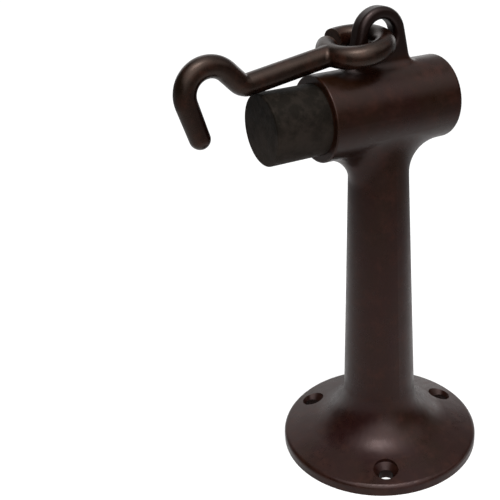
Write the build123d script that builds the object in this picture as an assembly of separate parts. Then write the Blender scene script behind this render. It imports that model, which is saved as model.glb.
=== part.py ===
"""A floor door bumper: a cast post with a rubber plug in its barrel and a hook hung from its lug.

The origin is the centre of the flange's underside, on the floor. +Z is up. The barrel lies along Y with its
rubber end towards -Y, and the part is symmetrical about X = 0 apart from the hook's eye.
"""
import os
from math import asin, atan2, cos, hypot, radians, sin, tan

from build123d import *

# Flange on the floor
base_diameter = 63.5
rim_height = 3.2
rim_round = 1.5
flange_slope = 15.5
flare_radius = 15.0
screw_count = 3
screw_circle_diameter = 51.4
screw_hole_diameter = 4.5
screw_head_diameter = 7.8
screw_head_angle = 82.0
screw_head_depth = 2.0

# Tapered column, measured where its sides would meet the floor and the barrel's axis
column_foot_diameter = 24.1
column_top_diameter = 16.4
column_neck_fillet = 10.3

# Barrel across the top of the column
barrel_axis_height = 112.0
barrel_diameter = 23.8
barrel_length = 41.5
barrel_rear_round = 1.2
barrel_mouth_round = 0.4

# Rubber plug in the barrel's front end
rubber_diameter = 19.4
rubber_reach = 16.2
rubber_seat_depth = 11.0
rubber_edge_round = 0.6
rubber_clearance = 0.1

# Lug on top of the barrel, a thick eye that stands in the plane of the barrel's axis
lug_hole_height = 19.8
lug_hole_diameter = 8.6
lug_outer_diameter = 15.4
lug_thickness = 5.2
lug_leg_angle = 12.0
lug_edge_share = 0.9
lug_foot_fillet = 3.2

# Hook, measured along its bar from the pivot in the lug's hole
hook_bar_diameter = 5.8
eye_bar_diameter = 6.0
eye_radius = 7.8
eye_stub_angle = 46.0
eye_gap_angle = 26.0
eye_free_turn = 70.0
eye_free_tilt = 6.0
eye_twist = 6.0
eye_neck_fillet = 1.5
step_distance = 42.1
step_bend_radius = 3.5
step_turn = 55.6
step_length = 4.0
crown_radius = 6.75
crown_turn = 152.3
bill_length = 9.3
bill_tip_diameter = 5.5

# Room between the hook and what carries it
link_clearance = 0.45
link_rest_angle = -61.0
rest_clearance = 0.3

# Largest distance between two places that count as the same
same_place = 0.001

base_radius = base_diameter / 2
barrel_radius = barrel_diameter / 2
barrel_front = -barrel_length / 2
rubber_radius = rubber_diameter / 2
lug_hole_radius = lug_hole_diameter / 2
lug_hole_centre = barrel_axis_height + lug_hole_height
hook_bar_radius = hook_bar_diameter / 2
eye_bar_radius = eye_bar_diameter / 2


def along_barrel(radius, start, end):
    """A cylinder on the barrel's axis between two places on Y."""
    middle = (start + end) / 2
    return Pos(0, middle, barrel_axis_height) * Rot(90, 0, 0) * Cylinder(radius, end - start)


def flange_top(radius):
    """Height of the flange's sloping top at a distance from the column's axis."""
    return rim_height + (base_radius - radius) * tan(radians(flange_slope))


def make_column():
    """The flange and the tapered column, turned as one profile."""
    foot_radius = column_foot_diameter / 2
    top_radius = column_top_diameter / 2
    taper = (foot_radius - top_radius) / barrel_axis_height
    slope = tan(radians(flange_slope))
    corner_height = flange_top(foot_radius) / (1 - taper * slope)
    corner_radius = foot_radius - taper * corner_height
    side = FilletPolyline(
        (base_radius, 0),
        (base_radius, rim_height),
        (corner_radius, corner_height),
        (top_radius, barrel_axis_height),
        radius=[rim_round, flare_radius],
    )
    closing = Polyline((top_radius, barrel_axis_height), (0, barrel_axis_height), (0, 0), (base_radius, 0))
    profile = make_face(Plane.XZ * (side + closing))
    return revolve(profile, Axis.Z)


def make_lug():
    """The eye-shaped lug, standing from inside the barrel up to its rounded top."""
    outer_radius = lug_outer_diameter / 2
    lean = radians(lug_leg_angle)
    shoulder = Vector(outer_radius * cos(lean), lug_hole_centre + outer_radius * sin(lean))
    foot_height = barrel_axis_height
    foot_reach = shoulder.X + (shoulder.Y - foot_height) * tan(lean)
    top = (0, lug_hole_centre + outer_radius)
    outline = Polyline((-shoulder.X, shoulder.Y), (-foot_reach, foot_height), (foot_reach, foot_height),
                       (shoulder.X, shoulder.Y))
    crest = ThreePointArc((shoulder.X, shoulder.Y), top, (-shoulder.X, shoulder.Y))
    face = make_face(Plane.YZ * (outline + crest))
    plate = extrude(face, amount=lug_thickness / 2, both=True)
    hole = Pos(0, 0, lug_hole_centre) * Rot(0, 90, 0) * Cylinder(lug_hole_radius, lug_thickness)
    lug = plate - hole
    rims = [edge for edge in lug.edges() if edge.center().Z > foot_height and abs(edge.center().X) > 0]
    largest_round = min(outer_radius - lug_hole_radius, lug_thickness) / 2
    return fillet(rims, lug_edge_share * largest_round)


def screw_hole():
    """One countersunk hole, with the head's recess open upwards through the sloping flange."""
    hole_radius = screw_hole_diameter / 2
    head_radius = screw_head_diameter / 2
    cone_height = (head_radius - hole_radius) / tan(radians(screw_head_angle / 2))
    seat = flange_top(screw_circle_diameter / 2) - screw_head_depth
    reach = flange_top(0)
    shank = Pos(0, 0, reach / 2) * Cylinder(hole_radius, reach)
    cone = Pos(0, 0, seat + cone_height / 2) * Cone(hole_radius, head_radius, cone_height)
    recess = Pos(0, 0, seat + cone_height + reach / 2) * Cylinder(head_radius, reach)
    return shank + cone + recess


def make_barrel():
    """The plain barrel, with its two end edges rounded."""
    barrel = along_barrel(barrel_radius, barrel_front, -barrel_front)
    rear = barrel.edges().filter_by(GeomType.CIRCLE).sort_by(Axis.Y)[-1]
    barrel = fillet(rear, barrel_rear_round)
    mouth = barrel.edges().filter_by(GeomType.CIRCLE).sort_by(Axis.Y)[0]
    return fillet(mouth, barrel_mouth_round)


def on_barrel_top(edge):
    """Whether an edge's middle lies on the upper half of the barrel's round face."""
    middle = edge.center()
    height = middle.Z - barrel_axis_height
    return height > 0 and abs(hypot(middle.X, height) - barrel_radius) < same_place


def make_post():
    """The casting: flange, column, barrel and lug in one piece, with its socket and screw holes."""
    post = make_column() + make_barrel()
    neck = [edge for edge in post.edges() if edge.geom_type not in (GeomType.CIRCLE, GeomType.LINE)]
    post = fillet(neck, column_neck_fillet) + make_lug()
    foot = [edge for edge in post.edges() if on_barrel_top(edge)]
    post = fillet(foot, lug_foot_fillet)
    post -= along_barrel(rubber_radius + rubber_clearance, barrel_front, barrel_front + rubber_seat_depth)
    for place in PolarLocations(screw_circle_diameter / 2, screw_count, start_angle=90):
        post -= place * screw_hole()
    return post


def make_rubber_bumper():
    """The plug, from the bottom of its socket to its striking face."""
    face = barrel_front - rubber_reach
    plug = along_barrel(rubber_radius, face, barrel_front + rubber_seat_depth)
    rim = plug.edges().filter_by(GeomType.CIRCLE).sort_by(Axis.Y)[0]
    return fillet(rim, rubber_edge_round)


def bar_along(path, radius):
    """A round bar along a path."""
    section = Plane(path @ 0, z_dir=path % 0) * Circle(radius)
    return sweep(section, path)


def make_eye():
    """The eye, bent from the stub beside the shank round through the lug to its free end.

    It is drawn with the pivot at the origin, the shank leaving along +X and its own plane at Y = 0. The free
    end is tilted out of that plane, because it was bent shut by hand and stands a little proud of the stub. The
    whole eye is then twisted a little about the shank.
    """
    free_start = eye_stub_angle + eye_gap_angle + eye_free_turn
    ring_turn = free_start - eye_stub_angle - 360
    ring = Plane.XZ * CenterArc((eye_radius, 0), eye_radius, eye_stub_angle, ring_turn)
    free_axis = Vector(0, -1, 0).rotate(Axis((0, 0, 0), ring % 1), eye_free_tilt)
    free_plane = Plane(ring @ 1, x_dir=ring % 1, z_dir=free_axis)
    free_limb = free_plane * JernArc((0, 0), (1, 0), eye_radius, -eye_free_turn)
    return Rot(-eye_twist, 0, 0) * bar_along(Wire([ring, free_limb]), eye_bar_radius)


def make_bill(start, direction):
    """The slightly tapered bill, with a round tip."""
    tip_radius = bill_tip_diameter / 2
    taper = Pos(0, 0, bill_length / 2) * Cone(hook_bar_radius, tip_radius, bill_length)
    tip = Pos(0, 0, bill_length) * Sphere(tip_radius)
    return Plane(start, z_dir=direction) * (taper + tip)


def make_hook():
    """The hook, drawn with its pivot at the origin and its shank along +X, then laid on the rubber."""
    bend_reach = step_bend_radius * tan(radians(step_turn / 2))
    shank = Line((2 * eye_radius, 0), (step_distance - bend_reach, 0))
    bend = JernArc(shank @ 1, shank % 1, step_bend_radius, step_turn)
    rise = Line(bend @ 1, bend @ 1 + (bend % 1) * step_length)
    crown = JernArc(rise @ 1, rise % 1, crown_radius, -crown_turn)
    hook = make_eye() + bar_along(Wire([shank, bend, rise, crown]), hook_bar_radius)
    neck = [edge for edge in hook.edges() if edge.geom_type not in (GeomType.CIRCLE, GeomType.LINE)]
    hook = fillet(neck, eye_neck_fillet) + make_bill(crown @ 1, crown % 1)
    return hook_place() * hook


def hook_place():
    """Where the hook lies at rest: its eye on the wall of the lug's hole, its shank on the rubber's rim."""
    pivot_offset = lug_hole_radius - eye_bar_radius - link_clearance
    pivot_y = pivot_offset * cos(radians(link_rest_angle))
    pivot_z = lug_hole_centre + pivot_offset * sin(radians(link_rest_angle))
    run = pivot_y - (barrel_front - rubber_reach)
    drop = pivot_z - (barrel_axis_height + rubber_radius)
    lift = asin((hook_bar_radius + rest_clearance) / hypot(run, drop))
    slope = atan2(drop, run) - lift
    return Plane((0, pivot_y, pivot_z), x_dir=(0, -cos(slope), -sin(slope)), z_dir=(-1, 0, 0))


if __name__ == "__main__":
    os.makedirs("parts", exist_ok=True)
    export_step(make_post(), "parts/post.step")
    export_step(make_rubber_bumper(), "parts/rubber_bumper.step")
    export_step(make_hook(), "parts/hook.step")
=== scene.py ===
"""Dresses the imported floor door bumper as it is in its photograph.

The post and the hook get a dark oil-rubbed bronze, and the plug gets a moulded rubber. They stand on a
white floor under soft studio light, in front of a camera fitted to the photograph. Lengths are in metres.
"""
from math import cos, pi, radians, sin

import bpy
from mathutils import Matrix, Vector

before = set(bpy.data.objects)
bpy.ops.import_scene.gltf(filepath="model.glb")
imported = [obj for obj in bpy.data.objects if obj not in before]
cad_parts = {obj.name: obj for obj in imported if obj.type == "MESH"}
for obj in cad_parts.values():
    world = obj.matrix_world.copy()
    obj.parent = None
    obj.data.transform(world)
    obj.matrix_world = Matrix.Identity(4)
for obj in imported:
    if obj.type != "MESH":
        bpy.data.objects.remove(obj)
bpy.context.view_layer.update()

# Camera, fitted to the photograph
photo_pixels = 500
focal_pixels = 827.2
sensor_millimetres = 36.0
camera_aim = Vector((0, 0, 0.0794))
camera_distance = 0.2462
camera_azimuth = radians(55.315)
camera_elevation = radians(23.073)
camera_pan = radians(3.709)
camera_tilt = radians(-2.473)
camera_roll = radians(-0.309)
camera_shift = -0.15
nearest_seen = 0.01

# Studio walls, and their soft lights: azimuth, elevation, full and outer half-angles in degrees, and level
wall_level = 0.06
wall_lights = {
    "overhead": (62, 55, 10, 46, 2.4),
    "zenith": (110, 86, 6, 36, 1.2),
    "low": (78, 20, 8, 40, 0.9),
    "left_high": (0, 64, 6, 24, 0.6),
    "left": (-100, 20, 10, 36, 1.0),
    "back_low": (-146, 0, 8, 28, 1.6),
    "back_high": (-125, 54, 10, 40, 0.4),
    "right_back": (175, 40, 8, 30, 0.25),
    "right": (136, 42, 6, 28, 0.9),
}

# Softbox over the camera's side
softbox_azimuth = radians(58)
softbox_elevation = radians(66)
softbox_distance = 0.75
softbox_side = 0.28
softbox_brightness = 8.0

# Floor, whose own paint fades into a plain white glow away from the object
floor_reach = 12.0
floor_middle = (0.0, -0.03, 0.0)
near_radius = 0.1
far_radius = 0.3
near_albedo = 0.55
far_albedo = 0.14
near_glow = 0.5
far_glow = 0.92

# Share of the white background that gloss shows
mirrored_share = 0.1
white = (1.0, 1.0, 1.0, 1.0)

# Patterns: features per metre, detail, roughness, and the noise values at which each one starts and is full
patterns = {
    "patina_drift": (70, 4, 0.55, 0.4, 0.6),
    "patina_clouds": (38, 3, 0.55, 0.48, 0.64),
    "rubbed_blotches": (210, 6, 0.65, 0.45, 0.75),
    "worn_patches": (480, 5, 0.7, 0.38, 0.66),
    "polish": (420, 4, 0.6, 0.3, 0.7),
    "waxed_patches": (130, 5, 0.6, 0.35, 0.65),
    "rubber_mottle": (240, 6, 0.65, 0.36, 0.64),
    "rubber_scuffs": (900, 6, 0.7, 0.6, 0.75),
    "rubber_gloss": (300, 4, 0.55, 0.3, 0.7),
}

# Reliefs: features per metre, detail, strength and depth
reliefs = {
    "casting_swell": (150, 2, 0.2, 0.0004),
    "bronze_grain": (1600, 2, 0.04, 0.0002),
    "rubber_grain": (1500, 4, 0.25, 0.0004),
}

# Edges and corners: how far each face looks for others, and the open shares between which it changes
occlusion_samples = 8
edge_reach = 0.0012
edge_shares = (0.55, 0.9)
corner_reach = 0.006
corner_shares = (0.3, 0.75)

# Bronze: its patina is drawn out upright, and unwaxed patches and corners are rougher
upright_stretch = (1, 1, 0.4)
unwaxed_roughness = 0.04
corner_roughness = 0.3
rubbed_brown = (0.02, 0.0056, 0.0028, 1)
worn_bronze = (0.055, 0.027, 0.014, 1)
# Dark brown for corners and holes, painted shade over a darker patina; the post above its dark height gets
# it too
shade_and_patina_brown = (0.004, 0.0014, 0.0008, 1)
dark_fade = 0.004
post_finish = {
    "patina": ((0.0108, 0.0026, 0.0014, 1), (0.0098, 0.0032, 0.001, 1), (0.0108, 0.0024, 0.002, 1)),
    "wear": 0.22,
    "sheen": 0.29,
    "sheen_tint": (1.0, 0.76, 0.74, 1),
    "polish": (0.25, 0.33),
    "dark_above": 0.1245,
}
hook_finish = {
    "patina": ((0.0048, 0.0015, 0.0008, 1), (0.0042, 0.0018, 0.0007, 1), (0.005, 0.0014, 0.001, 1)),
    "wear": 0.45,
    "sheen": 0.36,
    "sheen_tint": (1.0, 0.74, 0.62, 1),
    "polish": (0.22, 0.3),
}

# Rubber, with a mottled bloom, and its lower part painted paler as painted light and reflection from the
# floor
rubber_black = (0.0044, 0.0034, 0.0024, 1)
rubber_bloom_and_painted_light = (0.0225, 0.0168, 0.0136, 1)
rubber_scuff = (0.03, 0.027, 0.022, 1)
scuff_share = 0.5
painted_light_full_height = 0.103
painted_light_end_height = 0.12
mottle_range = (-0.2, 0.4)
rubber_roughness = (0.56, 0.68)
rubber_sheen = 0.1
rubber_sheen_tint = (1.0, 0.88, 0.78, 1)


def direction(azimuth, elevation):
    """A unit vector towards a place in the sky: azimuth 0 is -Y and 90 is +X."""
    level = cos(elevation)
    return Vector((sin(azimuth) * level, -cos(azimuth) * level, sin(elevation)))


def fill(tree, socket, value):
    """Links an input to a socket, or gives it a value."""
    if isinstance(value, bpy.types.NodeSocket):
        tree.links.new(value, socket)
    else:
        socket.default_value = value


def add(tree, kind, inputs=None, **settings):
    """A new node with its settings, and its inputs filled by name or number."""
    node = tree.nodes.new(kind)
    for name, value in settings.items():
        setattr(node, name, value)
    for name, value in (inputs or {}).items():
        fill(tree, node.inputs[name], value)
    return node


def math(tree, operation, first, second, clamp=False):
    """The result of one sum on numbers or sockets."""
    inputs = {0: first, 1: second}
    return add(tree, "ShaderNodeMath", inputs, operation=operation, use_clamp=clamp).outputs[0]


def vector_math(tree, operation, first, second):
    """The node of one sum on vectors or sockets."""
    return add(tree, "ShaderNodeVectorMath", {0: first, 1: second}, operation=operation)


def noise(tree, place, scale, detail, roughness=0.55):
    """Plain noise at a number of features per metre."""
    inputs = {"Vector": place, "Scale": scale, "Detail": detail, "Roughness": roughness}
    return add(tree, "ShaderNodeTexNoise", inputs).outputs["Fac"]


def blend(tree, share, first, second):
    """A mix of two colours, where a share of 0 is the first one."""
    node = add(tree, "ShaderNodeMix", data_type="RGBA")
    for socket, value in zip((node.inputs[0], node.inputs[6], node.inputs[7]), (share, first, second)):
        fill(tree, socket, value)
    return node.outputs[2]


def spread(tree, value, low, high, to_low=0.0, to_high=1.0):
    """A number brought from one range to another, smoothly and without passing its ends."""
    inputs = {"Value": value, "From Min": low, "From Max": high, "To Min": to_low, "To Max": to_high}
    return add(tree, "ShaderNodeMapRange", inputs, interpolation_type="SMOOTHSTEP").outputs["Result"]


def pattern(tree, place, name, to_low=0.0, to_high=1.0):
    """One of the named patterns, as a number that goes from one value to another."""
    scale, detail, roughness, start, full = patterns[name]
    return spread(tree, noise(tree, place, scale, detail, roughness), start, full, to_low, to_high)


def relief(tree, place, name, below=None):
    """A normal that follows one of the named reliefs, over another normal if there is one."""
    scale, detail, strength, depth = reliefs[name]
    inputs = {"Height": noise(tree, place, scale, detail), "Strength": strength, "Distance": depth}
    if below:
        inputs["Normal"] = below
    return add(tree, "ShaderNodeBump", inputs).outputs[0]


def height_of(tree, place):
    """The height of a place."""
    return add(tree, "ShaderNodeSeparateXYZ", {0: place}).outputs["Z"]


def seen_share(tree):
    """How much white background a ray shows: all to the camera and through glass, and less off gloss."""
    path = add(tree, "ShaderNodeLightPath").outputs
    direct = math(tree, "MAXIMUM", path["Is Camera Ray"], path["Is Transmission Ray"])
    return math(tree, "MAXIMUM", direct, math(tree, "MULTIPLY", path["Is Glossy Ray"], mirrored_share))


def make_world():
    """A white surround for the camera, and a dim studio with soft lights on its walls for the object."""
    world = bpy.data.worlds.new("studio")
    bpy.context.scene.world = world
    world.use_nodes = True
    tree = world.node_tree
    tree.nodes.clear()
    towards = add(tree, "ShaderNodeTexCoord").outputs["Generated"]
    studio = wall_level
    for azimuth, elevation, full, outer, level in wall_lights.values():
        middle = direction(radians(azimuth), radians(elevation))
        nearness = vector_math(tree, "DOT_PRODUCT", towards, middle).outputs["Value"]
        light = spread(tree, nearness, cos(radians(outer)), cos(radians(full)), 0.0, level)
        studio = math(tree, "ADD", studio, light)
    strength = math(tree, "MAXIMUM", studio, seen_share(tree))
    background = add(tree, "ShaderNodeBackground", {"Color": white, "Strength": strength})
    add(tree, "ShaderNodeOutputWorld", {"Surface": background.outputs[0]})


def make_floor():
    """A pale floor that shows white and keeps the object's shadow."""
    bpy.ops.mesh.primitive_plane_add(size=2 * floor_reach)
    floor = bpy.context.object
    floor.name = "floor"
    material, tree, place = start_material("floor")
    radius = vector_math(tree, "DISTANCE", place, floor_middle).outputs["Value"]
    albedo = spread(tree, radius, near_radius, far_radius, near_albedo, far_albedo)
    paint = add(tree, "ShaderNodeBsdfDiffuse", {"Color": albedo})
    brightness = spread(tree, radius, near_radius, far_radius, near_glow, far_glow)
    strength = math(tree, "MULTIPLY", seen_share(tree), brightness)
    glow = add(tree, "ShaderNodeEmission", {"Color": white, "Strength": strength})
    both = add(tree, "ShaderNodeAddShader", {0: paint.outputs[0], 1: glow.outputs[0]})
    add(tree, "ShaderNodeOutputMaterial", {"Surface": both.outputs[0]})
    floor.data.materials.append(material)


def make_softbox():
    """A square softbox that faces the object's middle."""
    lamp = bpy.data.lights.new("overhead_softbox", "AREA")
    lamp.size = softbox_side
    lamp.energy = softbox_brightness * pi * softbox_side * softbox_side
    box = bpy.data.objects.new("overhead_softbox", lamp)
    towards = direction(softbox_azimuth, softbox_elevation)
    box.location = camera_aim + towards * softbox_distance
    box.rotation_euler = towards.to_track_quat("Z", "Y").to_euler()
    bpy.context.scene.collection.objects.link(box)


def make_camera():
    """The camera at the photograph's place, turned a little to put the object right of the middle."""
    camera = bpy.data.cameras.new("camera")
    camera.sensor_width = sensor_millimetres
    camera.lens = focal_pixels / photo_pixels * sensor_millimetres
    camera.shift_x = camera_shift
    camera.clip_start = nearest_seen
    place = camera_aim + direction(camera_azimuth, camera_elevation) * camera_distance
    turn = Matrix.Rotation(camera_azimuth, 4, "Z") @ Matrix.Rotation(pi / 2 - camera_elevation, 4, "X")
    turn = turn @ Matrix.Rotation(camera_pan, 4, "Y") @ Matrix.Rotation(camera_tilt, 4, "X")
    turn = turn @ Matrix.Rotation(camera_roll, 4, "Z")
    holder = bpy.data.objects.new("camera", camera)
    holder.matrix_world = Matrix.Translation(place) @ turn
    bpy.context.scene.collection.objects.link(holder)
    bpy.context.scene.camera = holder


def open_share(tree, reach, inside):
    """How far a face is open: 1 with no other face of its solid in reach outside it, or inside it."""
    settings = {"inside": inside, "only_local": True, "samples": occlusion_samples}
    return add(tree, "ShaderNodeAmbientOcclusion", {"Distance": reach}, **settings).outputs["AO"]


def outer_edges(tree):
    """1 on outward edges and 0 on flat faces and in corners, from the faces in reach inside the solid."""
    return spread(tree, open_share(tree, edge_reach, True), *edge_shares, 1.0, 0.0)


def open_faces(tree):
    """0 deep in corners and holes and 1 on open faces, from the solid's own faces in reach outside it."""
    return spread(tree, open_share(tree, corner_reach, False), *corner_shares)


def start_material(name):
    """A new material, its node tree without nodes, and the place on the object that its patterns use."""
    material = bpy.data.materials.new(name)
    material.use_nodes = True
    tree = material.node_tree
    tree.nodes.clear()
    return material, tree, add(tree, "ShaderNodeTexCoord").outputs["Object"]


def make_bronze(name, patina, wear, sheen, sheen_tint, polish, dark_above=None):
    """Dark oil-rubbed bronze: a patina that drifts between three browns, under a thin waxed sheen.

    Blotches show a warmer rubbed colour, outward edges show some worn metal, and corners and holes are dull
    and painted dark: painted shade over a darker patina. The sheen has a level and a tint, and the polish
    is the range of its roughness. Above the dark height, if there is one, the colour is the same painted
    dark brown.
    """
    material, tree, place = start_material(name)
    upright = vector_math(tree, "MULTIPLY", place, upright_stretch).outputs[0]
    brown = blend(tree, pattern(tree, upright, "patina_drift"), patina[0], patina[1])
    brown = blend(tree, pattern(tree, upright, "patina_clouds"), brown, patina[2])
    brown = blend(tree, pattern(tree, place, "rubbed_blotches"), brown, rubbed_brown)
    bare = math(tree, "MULTIPLY", outer_edges(tree), pattern(tree, place, "worn_patches"))
    brown = blend(tree, math(tree, "MULTIPLY", bare, wear), brown, worn_bronze)
    # Painted shade: corners and holes blend towards the dark brown, over a darker patina there
    openness = open_faces(tree)
    colour = blend(tree, openness, shade_and_patina_brown, brown)
    if dark_above:
        dark = spread(tree, height_of(tree, place), dark_above, dark_above + dark_fade)
        colour = blend(tree, dark, colour, shade_and_patina_brown)
    unwaxed = pattern(tree, place, "waxed_patches", unwaxed_roughness, 0.0)
    gloss = math(tree, "ADD", pattern(tree, place, "polish", *polish), unwaxed)
    gloss = math(tree, "ADD", gloss, spread(tree, openness, 0.0, 1.0, corner_roughness, 0.0))
    shader = add(tree, "ShaderNodeBsdfPrincipled", {
        "Base Color": colour,
        "Roughness": gloss,
        "Specular IOR Level": sheen,
        "Specular Tint": sheen_tint,
        "Normal": relief(tree, place, "bronze_grain", relief(tree, place, "casting_swell")),
    })
    add(tree, "ShaderNodeOutputMaterial", {"Surface": shader.outputs[0]})
    return material


def make_rubber(name):
    """Black moulded rubber with a fine grain, a mottled bloom, pale scuffs, and painted floor light low
    down.
    """
    material, tree, place = start_material(name)
    # Painted light: paler towards the bottom, standing in for light reflected from the floor, and the top
    # left dark as shade
    painted_floor_light = spread(tree, height_of(tree, place), painted_light_full_height, painted_light_end_height, 1.0, 0.0)
    bloom_and_painted_light = math(tree, "ADD", pattern(tree, place, "rubber_mottle", *mottle_range), painted_floor_light, clamp=True)
    colour = blend(tree, bloom_and_painted_light, rubber_black, rubber_bloom_and_painted_light)
    scuffed = math(tree, "MULTIPLY", pattern(tree, place, "rubber_scuffs"), scuff_share)
    shader = add(tree, "ShaderNodeBsdfPrincipled", {
        "Base Color": blend(tree, scuffed, colour, rubber_scuff),
        "Roughness": pattern(tree, place, "rubber_gloss", *rubber_roughness),
        "Specular IOR Level": rubber_sheen,
        "Specular Tint": rubber_sheen_tint,
        "Normal": relief(tree, place, "rubber_grain"),
    })
    add(tree, "ShaderNodeOutputMaterial", {"Surface": shader.outputs[0]})
    return material


def dress(node, material):
    """Puts a material on every face of a CAD node."""
    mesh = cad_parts[node].data
    mesh.materials.clear()
    mesh.materials.append(material)


bpy.context.scene.view_settings.view_transform = "Standard"
make_world()
make_floor()
make_softbox()
make_camera()
dress("post", make_bronze("post_bronze", **post_finish))
dress("hook", make_bronze("hook_bronze", **hook_finish))
dress("rubber_bumper", make_rubber("bumper_rubber"))
